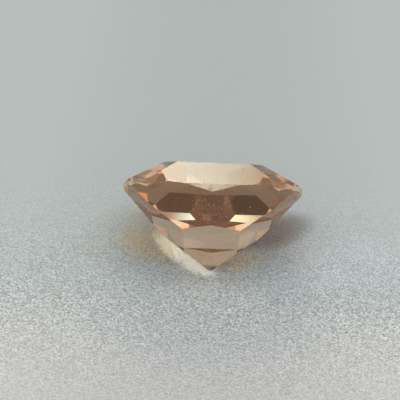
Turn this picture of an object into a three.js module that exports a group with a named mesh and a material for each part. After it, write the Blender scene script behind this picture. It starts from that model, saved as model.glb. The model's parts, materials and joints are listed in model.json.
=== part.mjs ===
// A loose morganite: one cushion-cut stone, lying tipped back on a lower facet of its pavilion.
//
// Every facet is a plane, and the stone is what lies inside all of them. The planes are set out as a cutter
// does: the table faces +Z, the front faces -Y, and the girdle lies at height 0. The finished stone is then
// turned onto the facet that it rests on. Sizes are in millimetres and angles in degrees.

import * as THREE from "three";

// The girdle's outline is a superellipse: a square with bowed sides and rounded corners.
const HALF_WIDTH = 5.0;
const HALF_LENGTH = 5.16;
const OUTLINE_POWER = 3.58;
const GIRDLE_HALF_THICKNESS = 0.08;
const GIRDLE_FLATS_PER_QUARTER = 10;
const TABLE_HEIGHT = 1.34;

// Rings of facets. Azimuth 0 faces the front and 90 the side, and each ring repeats in all four quarters.
// A ring that starts at the girdle says how far it is cut in from the outline, and any other ring says at
// what height its planes cross the stone's axis.
const CROWN_RINGS = [
  { azimuth: 0, slope: 29.5, inset: 0 },
  { azimuth: 45, slope: 32, inset: 0.05 },
  { azimuth: 90, slope: 28.5, inset: 0 },
  { azimuth: 27, slope: 37.5, inset: 0.1 },
  { azimuth: 86.5, slope: 41, inset: 0 },
  { azimuth: 45, slope: 24, apex: 2.9 },
];
const PAVILION_RINGS = [
  { azimuth: 9.5, slope: 59.5, inset: 0.14 },
  { azimuth: 66, slope: 50.5, inset: 0 },
  { azimuth: 45, slope: 63, inset: 0.04 },
  { azimuth: 90, slope: 47.5, apex: -5.69 },
  { azimuth: 0, slope: 31.5, apex: -4.63 },
  { azimuth: 90, slope: 36, apex: -4.69 },
  { azimuth: 45, slope: 39, apex: -5.4 },
];

// The stone lies on its rear pavilion facet of this slope.
const RESTING_SLOPE = 31.5;

// Corners nearer to each other than this are one corner, as where a cutter's facets meet in a point.
const MEET_DISTANCE = 0.002;
// Half the side of the square that each facet is clipped from, well beyond the stone.
const SHEET_REACH = 50;
// A plane whose normal rises more than this lies nearly level.
const NEARLY_LEVEL = 0.9;

/** Distance from the axis to the line that touches the outline on the side that faces the azimuth. */
function outlineReach(azimuth) {
  const angle = THREE.MathUtils.degToRad(azimuth);
  const power = OUTLINE_POWER / (OUTLINE_POWER - 1);
  const across = Math.abs(HALF_WIDTH * Math.sin(angle)) ** power;
  const along = Math.abs(HALF_LENGTH * Math.cos(angle)) ** power;
  return (across + along) ** (1 / power);
}

/** The azimuth mirrored left to right and front to back, each direction once. */
function inAllQuarters(azimuth) {
  const mirrored = [azimuth, -azimuth, 180 - azimuth, 180 + azimuth];
  return [...new Set(mirrored.map((angle) => (angle + 360) % 360))];
}

/** The outward plane of a facet. side is 1 on the crown and -1 on the pavilion. */
function facetPlane(azimuth, slope, side, reach, height) {
  const turn = THREE.MathUtils.degToRad(azimuth);
  const lean = THREE.MathUtils.degToRad(slope);
  const outward = new THREE.Vector3(Math.sin(turn), -Math.cos(turn), 0);
  const point = outward.clone().multiplyScalar(reach).setZ(height);
  const normal = outward.multiplyScalar(Math.sin(lean)).setZ(side * Math.cos(lean));
  return new THREE.Plane().setFromNormalAndCoplanarPoint(normal, point);
}

/** The planes of one ring of the crown (side 1) or the pavilion (side -1). */
function ringPlanes({ azimuth, slope, inset, apex }, side) {
  const fromGirdle = inset !== undefined;
  const reach = fromGirdle ? outlineReach(azimuth) - inset : 0;
  const height = fromGirdle ? side * GIRDLE_HALF_THICKNESS : apex;
  return inAllQuarters(azimuth).map((angle) => facetPlane(angle, slope, side, reach, height));
}

/** The upright flats that the girdle is ground to. */
function girdlePlanes() {
  const planes = [];
  for (let i = 0; i <= GIRDLE_FLATS_PER_QUARTER; i++) {
    const azimuth = (90 * i) / GIRDLE_FLATS_PER_QUARTER;
    const reach = outlineReach(azimuth);
    for (const angle of inAllQuarters(azimuth)) planes.push(facetPlane(angle, 90, 1, reach, 0));
  }
  return planes;
}

/** A large square on the plane, its corners in anticlockwise order seen from outside. */
function sheetOn(plane) {
  const level = Math.abs(plane.normal.z) > NEARLY_LEVEL;
  const seed = level ? new THREE.Vector3(1, 0, 0) : new THREE.Vector3(0, 0, 1);
  const across = new THREE.Vector3().crossVectors(seed, plane.normal).normalize();
  const up = new THREE.Vector3().crossVectors(plane.normal, across);
  const centre = plane.coplanarPoint(new THREE.Vector3());
  const corners = [[-1, -1], [1, -1], [1, 1], [-1, 1]];
  return corners.map(([a, b]) =>
    centre.clone().addScaledVector(across, a * SHEET_REACH).addScaledVector(up, b * SHEET_REACH),
  );
}

/** What is left of a convex polygon on the inner side of a plane. */
function clipped(polygon, plane) {
  const kept = [];
  polygon.forEach((corner, i) => {
    const next = polygon[(i + 1) % polygon.length];
    const here = plane.distanceToPoint(corner);
    const there = plane.distanceToPoint(next);
    if (here <= 0) kept.push(corner);
    if (here * there < 0) kept.push(corner.clone().lerp(next, here / (here - there)));
  });
  return kept;
}

/** The closed mesh of the solid inside all of the planes. */
function solidInside(planes) {
  const corners = [];
  const triangles = [];
  const cornerIndex = (point) => {
    const known = corners.findIndex((corner) => corner.distanceTo(point) < MEET_DISTANCE);
    return known >= 0 ? known : corners.push(point) - 1;
  };
  for (const plane of planes) {
    let polygon = sheetOn(plane);
    for (const other of planes) if (other !== plane) polygon = clipped(polygon, other);
    const ring = [...new Set(polygon.map(cornerIndex))];
    for (let i = 2; i < ring.length; i++) triangles.push(ring[0], ring[i - 1], ring[i]);
  }
  const geometry = new THREE.BufferGeometry().setFromPoints(corners);
  geometry.setIndex(triangles);
  return geometry;
}

const geometry = solidInside([
  ...girdlePlanes(),
  ...CROWN_RINGS.flatMap((ring) => ringPlanes(ring, 1)),
  facetPlane(0, 0, 1, 0, TABLE_HEIGHT),
  ...PAVILION_RINGS.flatMap((ring) => ringPlanes(ring, -1)),
]);

// Lay the stone down, then put the middle of its base at the origin.
geometry.rotateX(THREE.MathUtils.degToRad(-RESTING_SLOPE));
geometry.computeBoundingBox();
const { min, max } = geometry.boundingBox;
geometry.translate(-(min.x + max.x) / 2, -(min.y + max.y) / 2, -min.z);
geometry.computeVertexNormals();

const stone = new THREE.Mesh(
  geometry,
  new THREE.MeshStandardMaterial({ color: 0xe9b9a2, roughness: 0.02, metalness: 0, flatShading: true }),
);
stone.name = "stone";

const morganite = new THREE.Group();
morganite.add(stone);

export default morganite;
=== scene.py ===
"""A loose cut morganite lying on one facet of its pavilion, on a pale grained card under soft lights."""

import json
import logging
import math
import random
from dataclasses import dataclass, field
from enum import Enum

import bmesh
import bpy
from mathutils import Matrix, Vector


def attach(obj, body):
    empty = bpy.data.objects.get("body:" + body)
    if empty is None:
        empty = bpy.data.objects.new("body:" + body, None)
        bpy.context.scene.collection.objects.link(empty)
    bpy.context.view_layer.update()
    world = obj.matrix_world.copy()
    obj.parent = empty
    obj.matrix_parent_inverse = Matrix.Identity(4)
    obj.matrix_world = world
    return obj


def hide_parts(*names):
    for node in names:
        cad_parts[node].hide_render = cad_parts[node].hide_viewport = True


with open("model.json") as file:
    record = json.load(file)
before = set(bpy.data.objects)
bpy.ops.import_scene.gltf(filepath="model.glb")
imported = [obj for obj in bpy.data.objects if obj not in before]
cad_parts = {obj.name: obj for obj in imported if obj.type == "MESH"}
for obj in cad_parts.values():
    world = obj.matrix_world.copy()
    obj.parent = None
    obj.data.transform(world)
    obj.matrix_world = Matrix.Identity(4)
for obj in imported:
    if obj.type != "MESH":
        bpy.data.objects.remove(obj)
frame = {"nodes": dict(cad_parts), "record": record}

log = logging.getLogger("morganite")

Colour = tuple[float, float, float]
Triple = tuple[float, float, float]

MM = 0.001
STONE_NODE = "stone"
STONE_BODY = "root"
TABLE_MOUNT = "table_facet"
WIDTH_AXIS = Vector((1.0, 0.0, 0.0))
PICTURE_PIXELS = 400
MIDDLE_GREY = 0.5


class NodeBench:
    """Adds shader nodes to one material or world and joins them."""

    def __init__(self, owner: bpy.types.ID) -> None:
        """Clears the owner's node tree and keeps it for the calls that follow.

        Args:
            owner: The material or world that is dressed.
        """
        owner.use_nodes = True
        self.tree = owner.node_tree
        self.tree.nodes.clear()

    def add(self, kind: str, **inputs: object) -> bpy.types.Node:
        """Adds one node.

        Args:
            kind: The node's type without its ShaderNode prefix.
            inputs: Plain values for its sockets, with _ in a name for a space.

        Returns:
            The new node.
        """
        node = self.tree.nodes.new("ShaderNode" + kind)
        for name, value in inputs.items():
            node.inputs[name.replace("_", " ")].default_value = value
        return node

    def join(self, source: bpy.types.NodeSocket, target: bpy.types.NodeSocket) -> None:
        """Joins two sockets."""
        self.tree.links.new(source, target)

    def math(self, operation: str, *values: object) -> bpy.types.NodeSocket:
        """Adds a Math node.

        Args:
            operation: Blender's name of the operation.
            values: Its inputs in order, each a socket or a number.

        Returns:
            The result's socket.
        """
        node = self.tree.nodes.new("ShaderNodeMath")
        node.operation = operation
        for socket, value in zip(node.inputs, values):
            if isinstance(value, bpy.types.NodeSocket):
                self.join(value, socket)
            else:
                socket.default_value = value
        return node.outputs[0]

    def oval(self, across: bpy.types.NodeSocket, along: bpy.types.NodeSocket) -> bpy.types.NodeSocket:
        """Adds a soft oval.

        Args:
            across: How far off its middle a point lies one way, in half widths.
            along: How far off its middle a point lies the other way, in half widths.

        Returns:
            A value that falls smoothly from 1 in the middle to 0 at the rim.
        """
        away = self.math("MULTIPLY_ADD", along, along, self.math("MULTIPLY", across, across))
        falloff = self.add("MapRange", From_Min=1.0, From_Max=0.0)
        falloff.interpolation_type = "SMOOTHSTEP"
        self.join(away, falloff.inputs["Value"])
        return falloff.outputs[0]

    def vector(self, operation: str, *values: object) -> bpy.types.NodeSocket:
        """Adds a VectorMath node.

        Args:
            operation: Blender's name of the operation.
            values: Its inputs in order, each a socket, a colour or, for SCALE's second, a number.

        Returns:
            The result's socket.
        """
        node = self.tree.nodes.new("ShaderNodeVectorMath")
        node.operation = operation
        sockets = [node.inputs[0], node.inputs["Scale" if operation == "SCALE" else 1]]
        for socket, value in zip(sockets, values):
            if isinstance(value, bpy.types.NodeSocket):
                self.join(value, socket)
            else:
                socket.default_value = value
        return node.outputs[0]

    def ramp(self, factor: bpy.types.NodeSocket, *stops: tuple[float, Colour]) -> bpy.types.NodeSocket:
        """Adds a colour ramp.

        Args:
            factor: What the ramp is read by.
            stops: Positions from 0 to 1 with their colours.

        Returns:
            The colour's socket.
        """
        node = self.tree.nodes.new("ShaderNodeValToRGB")
        elements = node.color_ramp.elements
        anywhere = 0.5
        while len(elements) < len(stops):
            elements.new(anywhere)
        for element, (position, colour) in zip(elements, stops):
            element.position = position
            element.color = (*colour, 1.0)
        self.join(factor, node.inputs[0])
        return node.outputs[0]


class Surface(Enum):
    """The stone's kinds of surface, each with how coarse it is left, as a roughness."""

    FACET = 0.0
    GIRDLE = 0.6
    CHIP = 0.05


SURFACES = tuple(Surface)


@dataclass(frozen=True)
class MorganiteFinish:
    """Clear pink beryl whose body colour deepens along the light's path.

    How coarse a face is left comes from its mark on the mesh, and its grit never falls below least_grit of
    that. A faint haze lies on every face in soft blotches.
    """

    name: str = "polished_morganite"
    refractive_index: float = 1.583
    body_tint: Colour = (0.80, 0.43, 0.09)
    absorption_per_metre: float = 108.0
    coarseness_mark: str = "coarseness"
    haze_roughness: float = 0.015
    haze_size: float = 0.9 * MM
    grit_size: float = 0.05 * MM
    least_grit: float = 0.4
    blotch_detail: float = 3.0
    blotch_raggedness: float = 0.6
    blotch_span: tuple[float, float] = (0.35, 0.65)

    def blotches(
        self, bench: NodeBench, place: bpy.types.NodeSocket, size: float, least: float
    ) -> bpy.types.NodeSocket:
        """Adds soft blotches.

        Args:
            bench: The material's node bench.
            place: Where on the stone a point lies.
            size: How far apart the blotches lie.
            least: The value between them, where it is 1 inside them.

        Returns:
            The blotches' value at each point.
        """
        noise = bench.add(
            "TexNoise", Scale=1.0 / size, Detail=self.blotch_detail, Roughness=self.blotch_raggedness
        )
        bench.join(place, noise.inputs["Vector"])
        low, high = self.blotch_span
        span = bench.add("MapRange", From_Min=low, From_Max=high, To_Min=least, To_Max=1.0)
        bench.join(noise.outputs[0], span.inputs["Value"])
        return span.outputs[0]

    def roughness(self, bench: NodeBench) -> bpy.types.NodeSocket:
        """Adds the haze and the coarse faces' grit.

        Args:
            bench: The material's node bench.

        Returns:
            The roughness at each point.
        """
        place = bench.add("TexCoord").outputs["Object"]
        mark = bench.add("Attribute")
        mark.attribute_name = self.coarseness_mark
        grit = self.blotches(bench, place, self.grit_size, self.least_grit)
        grit = bench.math("MULTIPLY", mark.outputs["Fac"], grit)
        haze = self.blotches(bench, place, self.haze_size, 0.0)
        return bench.math("MULTIPLY_ADD", haze, self.haze_roughness, grit)

    def material(self) -> bpy.types.Material:
        """Makes the material.

        Returns:
            The finished material.
        """
        made = bpy.data.materials.new(self.name)
        bench = NodeBench(made)
        shader = bench.add(
            "BsdfPrincipled",
            Base_Color=(1.0, 1.0, 1.0, 1.0),
            IOR=self.refractive_index,
            Transmission_Weight=1.0,
        )
        bench.join(self.roughness(bench), shader.inputs["Roughness"])
        body = bench.add(
            "VolumeAbsorption", Color=(*self.body_tint, 1.0), Density=self.absorption_per_metre
        )
        output = bench.add("OutputMaterial")
        bench.join(shader.outputs[0], output.inputs["Surface"])
        bench.join(body.outputs[0], output.inputs["Volume"])
        return made


@dataclass(frozen=True)
class CardPatch:
    """A soft oval of light or shade painted into the card's colour, mostly where the stone throws light or
    shade.

    Its middle is an X and a Y, and its length is turned anticlockwise from X, in degrees. The tint is what
    the card's colour is multiplied by in the middle of the oval.
    """

    name: str
    middle: tuple[float, float]
    half_length: float
    half_width: float
    turn: float
    tint: Colour


@dataclass(frozen=True)
class CardFinish:
    """Pale grey card, speckled with a fine grain that is strongest just in front of the stone.

    The grain's strength is given at some places from front to back, as pairs of Y in metres and a share.
    Light is painted on the card, a little paler to both sides, by painted_side_light at side_reach from the
    middle.
    """

    name: str = "grained_card"
    tone: Colour = (0.55, 0.58, 0.60)
    grain_size: float = 0.06 * MM
    grain_contrast: float = 0.62
    grain_strength: tuple[tuple[float, float], ...] = (
        (-16.0 * MM, 0.22),
        (-6.0 * MM, 1.0),
        (2.5 * MM, 0.4),
        (8.0 * MM, 0.12),
        (14.0 * MM, 0.04),
    )
    # Painted light and shade: soft ovals of the stone's shadows and caustics and of the room's uneven light,
    # multiplied into the card's colour.
    patches: tuple[CardPatch, ...] = (
        CardPatch("shade all round", (-0.9 * MM, 0.5 * MM), 7.1 * MM, 6.0 * MM, 0.0, (0.86, 0.84, 0.84)),
        # Painted light and shade: olive-tinted light beside the pavilion's left side, warmer and darker in
        # blue.
        CardPatch("painted olive light", (-3.7 * MM, 0.3 * MM), 2.8 * MM, 1.9 * MM, -52.0, (1.16, 1.03, 0.78)),
        CardPatch("grey shade", (3.9 * MM, 2.3 * MM), 3.2 * MM, 1.9 * MM, 50.0, (0.58, 0.5, 0.48)),
        # Painted light: the bright caustic that the stone focuses onto the card along its lower left
        # outline.
        CardPatch("painted caustic band", (-1.5 * MM, -0.5 * MM), 3.4 * MM, 1.25 * MM, -53.0, (2.8, 2.85, 2.9)),
        CardPatch("olive gleam", (1.9 * MM, -1.3 * MM), 1.8 * MM, 0.8 * MM, 45.0, (1.08, 1.0, 0.82)),
        CardPatch("light at the point", (-0.8 * MM, -2.5 * MM), 1.4 * MM, 0.5 * MM, -25.0, (1.22, 1.2, 1.1)),
        CardPatch("light behind", (-1.4 * MM, 6.7 * MM), 1.2 * MM, 0.8 * MM, 0.0, (1.35, 1.33, 1.33)),
        # Painted light: the card is painted paler to the right of the stone.
        CardPatch("painted light on the right", (7.5 * MM, -1.0 * MM), 4.5 * MM, 4.5 * MM, 0.0, (1.12, 1.1, 1.13)),
        # Painted light: the card is painted paler in front of the stone.
        CardPatch("painted light in front", (0.0, -17.0 * MM), 60.0 * MM, 14.5 * MM, 0.0, (1.27, 1.155, 1.135)),
        # Painted shade: a straw-tinted shade on the card under the stone, seen through its crown.
        CardPatch("painted straw shade", (-0.3 * MM, 1.3 * MM), 1.9 * MM, 1.1 * MM, 0.0, (0.93, 0.88, 0.81)),
        CardPatch("straw shade", (1.6 * MM, 0.9 * MM), 1.15 * MM, 1.15 * MM, 0.0, (0.56, 0.52, 0.44)),
    )
    # Painted light: how much paler the card is painted at side_reach to both sides.
    painted_side_light: float = 0.10
    side_reach: float = 11.0 * MM
    roughness: float = 0.75

    def strength(self, bench: NodeBench, axes: bpy.types.Node) -> bpy.types.NodeSocket:
        """Adds the grain's change from front to back.

        Args:
            bench: The material's node bench.
            axes: The node that gives a point's X and Y.

        Returns:
            The grain's strength at each point.
        """
        front, back = self.grain_strength[0][0], self.grain_strength[-1][0]
        share = bench.add("MapRange", From_Min=front, From_Max=back)
        bench.join(axes.outputs["Y"], share.inputs["Value"])
        stops = [
            ((y - front) / (back - front), (level, level, level)) for y, level in self.grain_strength
        ]
        return bench.ramp(share.outputs[0], *stops)

    def tinted(
        self, bench: NodeBench, axes: bpy.types.Node, colour: bpy.types.NodeSocket, patch: CardPatch
    ) -> bpy.types.NodeSocket:
        """Adds one patch of painted light or shade to the card's colour.

        Args:
            bench: The material's node bench.
            axes: The node that gives a point's X and Y.
            colour: The colour so far.
            patch: The patch's facts.

        Returns:
            The colour with the patch.
        """
        turn = math.radians(patch.turn)
        aside = bench.math("SUBTRACT", axes.outputs["X"], patch.middle[0])
        ahead = bench.math("SUBTRACT", axes.outputs["Y"], patch.middle[1])
        offsets = []
        for reach, share_x, share_y in (
            (patch.half_length, math.cos(turn), math.sin(turn)),
            (patch.half_width, -math.sin(turn), math.cos(turn)),
        ):
            part = bench.math("MULTIPLY", aside, share_x / reach)
            offsets.append(bench.math("MULTIPLY_ADD", ahead, share_y / reach, part))
        most = [share - 1.0 for share in patch.tint]
        change = bench.vector("SCALE", most, bench.oval(*offsets))
        return bench.vector("MULTIPLY", colour, bench.vector("ADD", change, (1.0, 1.0, 1.0)))

    def material(self) -> bpy.types.Material:
        """Makes the material.

        Returns:
            The finished material.
        """
        made = bpy.data.materials.new(self.name)
        bench = NodeBench(made)
        place = bench.add("TexCoord").outputs["Object"]
        axes = bench.add("SeparateXYZ")
        bench.join(place, axes.inputs[0])
        grain = bench.add("TexVoronoi", Scale=1.0 / self.grain_size)
        bench.join(place, grain.inputs["Vector"])
        shade = bench.add("SeparateColor")
        bench.join(grain.outputs["Color"], shade.inputs[0])
        swing = bench.math("SUBTRACT", shade.outputs[0], MIDDLE_GREY)
        swing = bench.math("MULTIPLY", swing, self.strength(bench, axes))
        swing = bench.math("MULTIPLY", swing, self.grain_contrast / MIDDLE_GREY)
        # Painted light: the card's colour is lifted towards both sides.
        aside = bench.math("DIVIDE", axes.outputs["X"], self.side_reach)
        aside = bench.math("MINIMUM", bench.math("MULTIPLY", aside, aside), 1.0)
        level = bench.math("MULTIPLY_ADD", aside, self.painted_side_light, 1.0)
        level = bench.math("ADD", swing, level)
        colour = bench.vector("SCALE", self.tone, level)
        # Painted light and shade: each patch multiplies the card's colour.
        for patch in self.patches:
            colour = self.tinted(bench, axes, colour, patch)
            log.info("patch on the card: %s", patch.name)
        shader = bench.add("BsdfPrincipled", Roughness=self.roughness)
        bench.join(colour, shader.inputs["Base Color"])
        output = bench.add("OutputMaterial")
        bench.join(shader.outputs[0], output.inputs["Surface"])
        return made


def table_axis() -> Vector:
    """The table facet's outward direction, from the record's mount."""
    mounts = {mount["name"]: mount for mount in frame["record"]["mounts"]}
    return Vector(mounts[TABLE_MOUNT]["axis"])


def mesh_of(name: str, shape: bmesh.types.BMesh) -> bpy.types.Mesh:
    """Turns a shape into a mesh.

    Args:
        name: The mesh's name.
        shape: The shape, which is freed.

    Returns:
        The new mesh.
    """
    mesh = bpy.data.meshes.new(name)
    shape.to_mesh(mesh)
    shape.free()
    return mesh


def placed(name: str, mesh: bpy.types.Mesh, material: bpy.types.Material) -> bpy.types.Object:
    """Dresses a mesh and puts it in the scene.

    Args:
        name: The object's name.
        mesh: Its mesh.
        material: Its material.

    Returns:
        The new object.
    """
    mesh.materials.append(material)
    thing = bpy.data.objects.new(name, mesh)
    bpy.context.scene.collection.objects.link(thing)
    return thing


def stone_piece(name: str, mesh: bpy.types.Mesh, material: bpy.types.Material) -> bpy.types.Object:
    """Makes an object that rides with the stone and shares its slot.

    Args:
        name: The object's name.
        mesh: Its mesh.
        material: Its material.

    Returns:
        The new object.
    """
    piece = placed(name, mesh, material)
    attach(piece, STONE_BODY)
    return piece


@dataclass
class CutStone:
    """The stone itself: its facets as cut, with edges that catch the light and a small chip at the point.

    The chip has one face for each pair of chip_leans, a turn from the stone's front and a lean away from
    its axis, in degrees. The first face is chip_depth deep, and each next one chip_step less deep.
    """

    name: str = "cut_stone"
    same_facet_angle: float = 0.05
    weld_distance: float = 0.0002 * MM
    edge_width: float = 0.03 * MM
    edge_steps: int = 2
    edge_profile: float = 0.5
    upright_limit: float = 0.02
    read_normals: str = "custom_normal"
    finish: MorganiteFinish = field(default_factory=MorganiteFinish)
    chip_depth: float = 0.024 * MM
    chip_leans: tuple[tuple[float, float], ...] = ((10.0, 16.0), (75.0, 12.0), (-60.0, 9.0))
    chip_step: float = 0.006 * MM

    def facets(self) -> bmesh.types.BMesh:
        """Reads the stone's facets from its node, each as one polygon.

        Returns:
            The facets as a closed mesh.
        """
        shell = bmesh.new()
        shell.from_mesh(frame["nodes"][STONE_NODE].data)
        bmesh.ops.remove_doubles(shell, verts=shell.verts, dist=self.weld_distance)
        limit = math.radians(self.same_facet_angle)
        bmesh.ops.dissolve_limit(shell, angle_limit=limit, verts=shell.verts, edges=shell.edges)
        return shell

    def mark_girdle(self, shell: bmesh.types.BMesh) -> None:
        """Gives the flats that stand along the stone's axis the girdle's finish.

        Args:
            shell: The facets, changed in place.
        """
        axis = table_axis()
        for facet in shell.faces:
            if abs(facet.normal.dot(axis)) < self.upright_limit:
                facet.material_index = SURFACES.index(Surface.GIRDLE)

    def chip_point(self, shell: bmesh.types.BMesh) -> None:
        """Breaks the tip off the pavilion in a few small faces.

        Args:
            shell: The facets, changed in place.
        """
        axis = table_axis()
        front = WIDTH_AXIS.cross(axis)
        tip = min(shell.verts, key=lambda corner: corner.co.dot(axis)).co.copy()
        for step, (turn, lean) in enumerate(self.chip_leans):
            turned = math.radians(turn)
            tilted = math.radians(lean)
            sideways = WIDTH_AXIS * math.sin(turned) + front * math.cos(turned)
            outward = sideways * math.sin(tilted) - axis * math.cos(tilted)
            level = tip - outward * (self.chip_depth - step * self.chip_step)
            cut = bmesh.ops.bisect_plane(
                shell,
                geom=[*shell.verts, *shell.edges, *shell.faces],
                plane_co=level,
                plane_no=outward,
                clear_outer=True,
            )
            rim = [edge for edge in cut["geom_cut"] if isinstance(edge, bmesh.types.BMEdge)]
            for face in bmesh.ops.holes_fill(shell, edges=rim, sides=0)["faces"]:
                face.material_index = SURFACES.index(Surface.CHIP)
        bmesh.ops.recalc_face_normals(shell, faces=shell.faces)

    def soften_edges(self, shell: bmesh.types.BMesh) -> None:
        """Takes the sharpness off the edges between facets.

        Args:
            shell: The facets, changed in place.
        """
        bmesh.ops.bevel(
            shell,
            geom=[*shell.edges, *shell.verts],
            offset=self.edge_width,
            offset_type="WIDTH",
            segments=self.edge_steps,
            profile=self.edge_profile,
            affect="EDGES",
            clamp_overlap=True,
            material=SURFACES.index(Surface.FACET),
        )

    def mark_coarseness(self, mesh: bpy.types.Mesh) -> None:
        """Marks how coarse each face is, and puts all of them in the stone's one material.

        Args:
            mesh: The stone's mesh, whose material indexes say each face's kind of surface.
        """
        marks = mesh.attributes.new(self.finish.coarseness_mark, "FLOAT", "FACE")
        for face, mark in zip(mesh.polygons, marks.data):
            mark.value = SURFACES[face.material_index].value
            face.material_index = 0

    def build(self) -> bpy.types.Object:
        """Makes the stone and puts it in the place of its node.

        Returns:
            The stone's object.
        """
        shell = self.facets()
        log.info("facets: %d", len(shell.faces))
        self.mark_girdle(shell)
        self.chip_point(shell)
        self.soften_edges(shell)
        mesh = mesh_of(self.name, shell)
        mesh.shade_flat()
        if mesh.has_custom_normals:
            mesh.attributes.remove(mesh.attributes[self.read_normals])
        self.mark_coarseness(mesh)
        stone = stone_piece(self.name, mesh, self.finish.material())
        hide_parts(STONE_NODE)
        return stone


@dataclass(frozen=True)
class BlotchedFinish:
    """A dull surface whose colour swings between two tones in soft blotches."""

    name: str
    dull: Colour
    pale: Colour
    patch_size: float
    roughness: float
    dull_below: float = 0.3
    pale_above: float = 0.7

    def material(self) -> bpy.types.Material:
        """Makes the material.

        Returns:
            The finished material.
        """
        made = bpy.data.materials.new(self.name)
        bench = NodeBench(made)
        patches = bench.add("TexNoise", Scale=1.0 / self.patch_size)
        bench.join(bench.add("TexCoord").outputs["Object"], patches.inputs["Vector"])
        stops = (self.dull_below, self.dull), (self.pale_above, self.pale)
        tone = bench.ramp(patches.outputs[0], *stops)
        shader = bench.add("BsdfPrincipled", Roughness=self.roughness)
        bench.join(tone, shader.inputs["Base Color"])
        bench.join(shader.outputs[0], bench.add("OutputMaterial").inputs["Surface"])
        return made


@dataclass
class Pinpoints:
    """Crystals as fine as dust that are sealed in the stone, in a loose cloud.

    The spread holds most of them: it reaches so many standard deviations each way from the middle.
    """

    name: str = "pinpoints"
    count: int = 90
    middle: Triple = (0.0, -2.8 * MM, 4.75 * MM)
    spread: Triple = (1.6 * MM, 0.5 * MM, 0.7 * MM)
    deviations: float = 2.0
    tumble_axis: Triple = (1.0, 1.0, 0.0)
    finest: float = 0.012 * MM
    coarsest: float = 0.03 * MM
    seed: int = 11
    finish: BlotchedFinish = BlotchedFinish(
        "pale_pinpoints", (0.55, 0.47, 0.42), (0.95, 0.92, 0.88), 0.3 * MM, 0.6
    )

    def build(self) -> bpy.types.Object:
        """Makes the cloud as one piece.

        Returns:
            The cloud's object.
        """
        draw = random.Random(self.seed)
        cloud = bmesh.new()
        for _ in range(self.count):
            place = Vector(
                draw.gauss(mid, reach / self.deviations) for mid, reach in zip(self.middle, self.spread)
            )
            turned = Matrix.Rotation(draw.uniform(0.0, math.tau), 4, self.tumble_axis)
            radius = draw.uniform(self.finest, self.coarsest)
            bmesh.ops.create_icosphere(
                cloud, subdivisions=1, radius=radius, matrix=Matrix.Translation(place) @ turned
            )
        return stone_piece(self.name, mesh_of(self.name, cloud), self.finish.material())


@dataclass
class CuletDarkBlob:
    """A short, dark, uneven blob, half sunk in the stone by the edge that runs up beside the pavilion's
    point.

    Its middle lies from_point away from the point, and its length follows run, a direction.
    """

    name: str = "culet_dark_blob"
    half_size: Triple = (0.23 * MM, 0.05 * MM, 0.045 * MM)
    from_point: Triple = (0.16 * MM, -0.15 * MM, 0.2 * MM)
    run: Triple = (0.7, -0.26, 0.66)
    unevenness: float = 0.35
    seed: int = 4
    finish: BlotchedFinish = BlotchedFinish(
        "dark_blob", (0.02, 0.015, 0.01), (0.09, 0.065, 0.045), 0.1 * MM, 0.5
    )

    def build(self) -> bpy.types.Object:
        """Makes the dark blob, uneven and half sunk in the stone.

        Returns:
            The nick's object.
        """
        draw = random.Random(self.seed)
        axis = table_axis()
        point = min((corner.co for corner in frame["nodes"][STONE_NODE].data.vertices), key=axis.dot)
        place = Vector((0.0, point.y, point.z)) + Vector(self.from_point)
        turned = Vector(self.run).to_track_quat("X", "Z").to_matrix().to_4x4()
        blob = bmesh.new()
        bmesh.ops.create_icosphere(blob, subdivisions=2, radius=1.0)
        for corner in blob.verts:
            corner.co *= draw.uniform(1.0 - self.unevenness, 1.0)
        bmesh.ops.scale(blob, vec=self.half_size, verts=blob.verts)
        bmesh.ops.transform(blob, matrix=Matrix.Translation(place) @ turned, verts=blob.verts)
        return stone_piece(self.name, mesh_of(self.name, blob), self.finish.material())


@dataclass
class FrostedGirdle:
    """The thin ground skin on the girdle's flats, skin_depth deep both into and out of them."""

    name: str = "frosted_girdle"
    skin_depth: float = 0.004 * MM
    finish: BlotchedFinish = BlotchedFinish(
        "ground_girdle", (0.58, 0.36, 0.22), (0.96, 0.74, 0.55), 0.4 * MM, 0.5
    )

    def build(self, stone: CutStone) -> bpy.types.Object:
        """Makes the skin, half of it under the flats and half proud of them.

        Args:
            stone: The stone that the flats belong to.

        Returns:
            The skin's object.
        """
        skin = stone.facets()
        stone.mark_girdle(skin)
        girdle = SURFACES.index(Surface.GIRDLE)
        others = [face for face in skin.faces if face.material_index != girdle]
        bmesh.ops.delete(skin, geom=others, context="FACES")
        skin.normal_update()
        outward = {corner: corner.normal.copy() for corner in skin.verts}
        grown = bmesh.ops.extrude_face_region(skin, geom=skin.faces[:])
        raised = [part for part in grown["geom"] if isinstance(part, bmesh.types.BMVert)]
        for corner in raised:
            nearest = min(outward, key=lambda known: (known.co - corner.co).length_squared)
            corner.co += outward[nearest] * self.skin_depth
        for corner, direction in outward.items():
            corner.co -= direction * self.skin_depth
        for face in skin.faces:
            face.material_index = 0
        bmesh.ops.recalc_face_normals(skin, faces=skin.faces)
        return stone_piece(self.name, mesh_of(self.name, skin), self.finish.material())


@dataclass
class Card:
    """The pale card that the stone lies on."""

    name: str = "card"
    half_width: float = 600.0 * MM
    gap_under_stone: float = 0.02 * MM
    finish: CardFinish = field(default_factory=CardFinish)

    def build(self) -> bpy.types.Object:
        """Makes the card, its top a hair below the stone so that the two surfaces stay apart.

        Returns:
            The card's object.
        """
        mesh = bpy.data.meshes.new(self.name)
        reach, top = self.half_width, -self.gap_under_stone
        corners = [(-reach, -reach, top), (reach, -reach, top), (reach, reach, top), (-reach, reach, top)]
        mesh.from_pydata(corners, [], [(0, 1, 2, 3)])
        card = placed(self.name, mesh, self.finish.material())
        return card


def heading(azimuth: float, elevation: float) -> Vector:
    """The direction of an azimuth, clockwise from +Y seen from above, and an elevation, in degrees."""
    turn, lift = math.radians(azimuth), math.radians(elevation)
    return Vector((math.sin(turn) * math.cos(lift), math.cos(turn) * math.cos(lift), math.sin(lift)))


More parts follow.
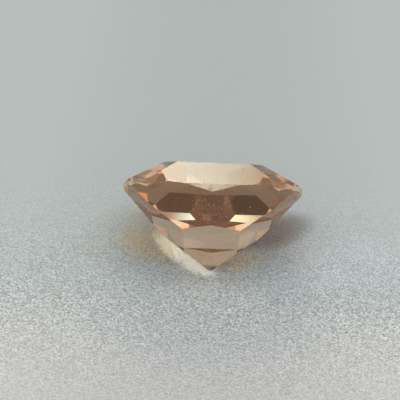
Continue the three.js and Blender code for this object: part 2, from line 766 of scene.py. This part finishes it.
@dataclass(frozen=True)
class Glow:
    """A soft oval of light on the tent's wall, in degrees. A dim one has a negative brightness."""

    name: str
    azimuth: float
    elevation: float
    half_width: float
    half_height: float
    brightness: float
    tint: Colour


@dataclass
class LightTent:
    """The pale tent around the card: an even glow with brighter patches where its lamps shine through."""

    horizon: Colour = (0.24, 0.18, 0.06)
    upper_wall: Colour = (0.20, 0.22, 0.20)
    upper_wall_height: float = 0.92
    zenith: Colour = (0.46, 0.49, 0.42)
    glows: tuple[Glow, ...] = (
        Glow("lamp behind", -4.0, 25.0, 7.0, 7.0, 3.6, (1.04, 1.0, 0.84)),
        Glow("warm wall behind", 0.0, 38.0, 42.0, 24.0, 1.6, (1.17, 0.99, 0.72)),
        Glow("low gleam behind", -29.0, 0.0, 19.0, 20.0, 1.0, (0.83, 1.01, 1.0)),
        Glow("left wall", -86.0, 36.0, 31.0, 24.0, 1.1, (1.2, 1.0, 0.87)),
        Glow("low right wall", 62.0, 3.0, 65.0, 24.0, 0.7, (0.9, 1.0, 1.1)),
        Glow("strip on the right", 70.0, 46.0, 25.0, 7.0, 1.17, (0.91, 1.0, 1.05)),
        Glow("wall in front, left", -145.0, 61.0, 47.0, 39.0, 1.42, (0.82, 1.0, 1.08)),
        Glow("wall in front, right", 147.0, 64.0, 53.0, 43.0, 1.34, (0.79, 1.0, 1.25)),
        Glow("strip in front", 180.0, 23.0, 53.0, 10.0, 1.72, (0.99, 1.0, 0.95)),
        Glow("dim oval in front", 178.0, 26.0, 20.0, 12.5, -0.95, (0.9, 0.99, 1.03)),
        Glow("small lamp in front, left", -156.4, 31.0, 3.0, 3.0, 3.0, (0.42, 1.0, 1.3)),
        Glow("small lamp in front, right", 156.5, 31.0, 3.0, 3.0, 4.0, (0.33, 1.0, 1.8)),
        Glow("small lamp behind, left", -37.0, 48.0, 5.0, 3.5, 2.4, (0.57, 1.0, 1.5)),
        Glow("small lamp behind, right", 36.0, 49.0, 5.0, 3.5, 2.4, (0.57, 1.0, 1.5)),
        Glow("dim oval behind, left", -46.0, 56.0, 14.0, 9.0, -0.09, (1.0, 1.0, 1.1)),
        Glow("dim oval behind, right", 46.0, 57.0, 14.0, 9.0, -0.05, (1.0, 1.0, 1.1)),
        Glow("dim spot behind, right", 27.0, 41.0, 6.0, 4.5, -0.75, (1.17, 1.0, 0.75)),
    )

    def patch(
        self, bench: NodeBench, turn: bpy.types.NodeSocket, lift: bpy.types.NodeSocket, glow: Glow
    ) -> bpy.types.NodeSocket:
        """Adds one patch to the tent's colour.

        Args:
            bench: The tent's node bench.
            turn: The azimuth that a ray leaves at, in radians.
            lift: The elevation that a ray leaves at, in radians.
            glow: The patch's facts.

        Returns:
            The patch's light as a colour.
        """
        aside = bench.math("SUBTRACT", turn, math.radians(glow.azimuth))
        aside = bench.math("WRAP", aside, math.pi, -math.pi)
        aside = bench.math("DIVIDE", aside, math.radians(glow.half_width))
        above = bench.math("SUBTRACT", lift, math.radians(glow.elevation))
        above = bench.math("DIVIDE", above, math.radians(glow.half_height))
        light = [glow.brightness * part for part in glow.tint]
        return bench.vector("SCALE", light, bench.oval(aside, above))

    def build(self) -> None:
        """Makes the tent's glow."""
        world = bpy.data.worlds.new("tent")
        bpy.context.scene.world = world
        bench = NodeBench(world)
        axes = bench.add("SeparateXYZ")
        bench.join(bench.add("TexCoord").outputs["Generated"], axes.inputs[0])
        turn = bench.math("ARCTAN2", axes.outputs["X"], axes.outputs["Y"])
        lift = bench.math("ARCSINE", axes.outputs["Z"])
        upper = (self.upper_wall_height, self.upper_wall)
        colour = bench.ramp(axes.outputs["Z"], (0.0, self.horizon), upper, (1.0, self.zenith))
        for glow in self.glows:
            colour = bench.vector("ADD", colour, self.patch(bench, turn, lift, glow))
            log.info("glow in the tent: %s", glow.name)
        shine = bench.add("Background", Strength=1.0)
        bench.join(bench.vector("MAXIMUM", colour, (0.0, 0.0, 0.0)), shine.inputs["Color"])
        bench.join(shine.outputs[0], bench.add("OutputWorld").inputs["Surface"])


@dataclass
class Viewpoint:
    """The camera: a long lens that looks down on the stone's point."""

    azimuth: float = 0.35
    elevation: float = 29.4
    roll: float = 1.93
    distance: float = 90.0 * MM
    pixels_per_mm: float = 17.56
    girdle_centre_in_picture: tuple[float, float] = (212.9, 189.7)
    sensor_width: float = 36.0
    nearest_shown: float = 9.0 * MM
    corner_slack: float = 0.001 * MM

    def girdle_centre(self) -> Vector:
        """Finds the middle of the girdle, at the height of its outermost corners along the table's axis.

        Returns:
            The middle of the girdle.
        """
        axis = table_axis()
        corners = [vertex.co for vertex in frame["nodes"][STONE_NODE].data.vertices]
        farthest = max(corner.x for corner in corners) - self.corner_slack
        outermost = [corner for corner in corners if abs(corner.x) > farthest]
        height = sum(corner.dot(axis) for corner in outermost) / len(outermost)
        front = WIDTH_AXIS.cross(axis)
        reaches = [corner.dot(front) for corner in corners]
        return axis * height + front * (min(reaches) + max(reaches)) / 2.0

    def build(self) -> bpy.types.Object:
        """Makes the camera.

        Returns:
            The camera's object.
        """
        centre = self.girdle_centre()
        back = heading(180.0 - self.azimuth, self.elevation)
        level = Vector((0.0, 0.0, 1.0)).cross(back).normalized()
        turn = Matrix.Rotation(math.radians(self.roll), 3, back)
        right = turn @ level
        up = back.cross(right)
        column, row = self.girdle_centre_in_picture
        middle = PICTURE_PIXELS / 2.0
        aim = centre + ((middle - column) * right + (row - middle) * up) * (MM / self.pixels_per_mm)
        place = centre + back * self.distance
        lens = bpy.data.cameras.new("viewpoint")
        lens.sensor_width = self.sensor_width
        focal_pixels = self.pixels_per_mm * self.distance / MM
        lens.lens = focal_pixels * self.sensor_width / PICTURE_PIXELS
        lens.clip_start = self.nearest_shown
        camera = bpy.data.objects.new("viewpoint", lens)
        sight = (place - aim).normalized()
        side = (right - right.dot(sight) * sight).normalized()
        facing = Matrix((side, sight.cross(side), sight)).transposed().to_4x4()
        camera.matrix_world = Matrix.Translation(place) @ facing
        bpy.context.scene.collection.objects.link(camera)
        bpy.context.scene.camera = camera
        return camera


@dataclass(frozen=True)
class Picture:
    """How light is followed through the stone and shown."""

    light_bounces: int = 32

    def apply(self) -> None:
        """Sets the light-path limits and the plain view transform."""
        scene = bpy.context.scene
        for limit in ("max_bounces", "glossy_bounces", "transmission_bounces"):
            setattr(scene.cycles, limit, self.light_bounces)
        scene.view_settings.view_transform = "Standard"


def main() -> None:
    """Builds the stone, its card, the lights and the camera."""
    logging.basicConfig(level=logging.INFO, format="%(message)s")
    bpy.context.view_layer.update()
    Viewpoint().build()
    stone = CutStone()
    pieces = [
        stone.build(),
        FrostedGirdle().build(stone),
        Pinpoints().build(),
        CuletDarkBlob().build(),
        Card().build(),
    ]
    for piece in pieces:
        log.info("%s: %d faces", piece.name, len(piece.data.polygons))
    LightTent().build()
    Picture().apply()


if __name__ == "__main__":
    main()
